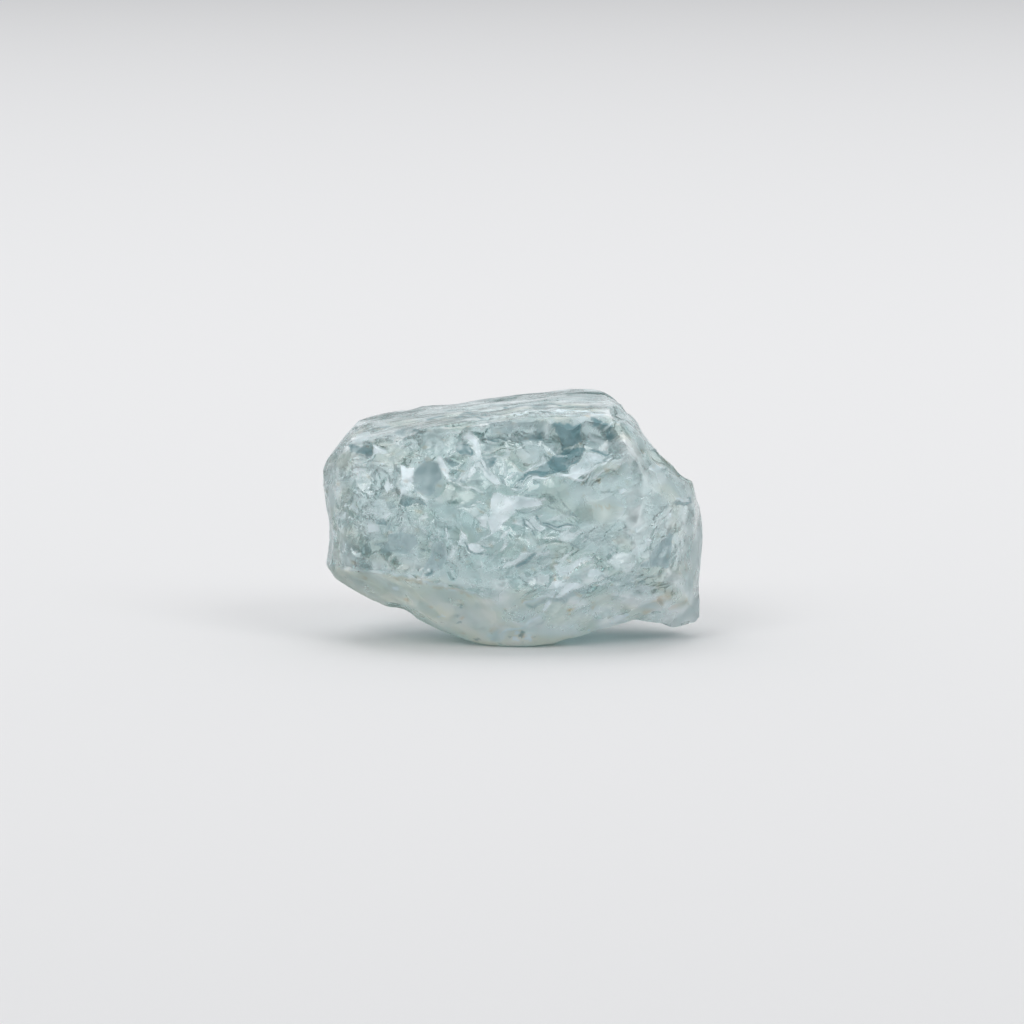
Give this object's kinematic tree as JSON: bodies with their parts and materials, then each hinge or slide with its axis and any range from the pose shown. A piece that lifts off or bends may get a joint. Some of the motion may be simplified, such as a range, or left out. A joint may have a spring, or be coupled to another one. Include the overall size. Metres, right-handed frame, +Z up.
{
  "type": "aquamarine crystal",
  "caption": "Rough, broken piece of clear pale blue-green aquamarine, with shell-shaped fracture scoops, resting on a small flat break.",
  "frame": {"origin": "on the resting face, under the middle of the stone's bounding box", "axes": "+X along the stone's length towards its lobed end, -Y its broad front, +Z up"},
  "size_m": [0.0152, 0.0086, 0.0098],
  "materials": {
    "aquamarine": "clear, glassy fracture surfaces with milky patches"
  },
  "bodies": {
    "root": {"crystal": "aquamarine"}
  },
  "joints": []
}
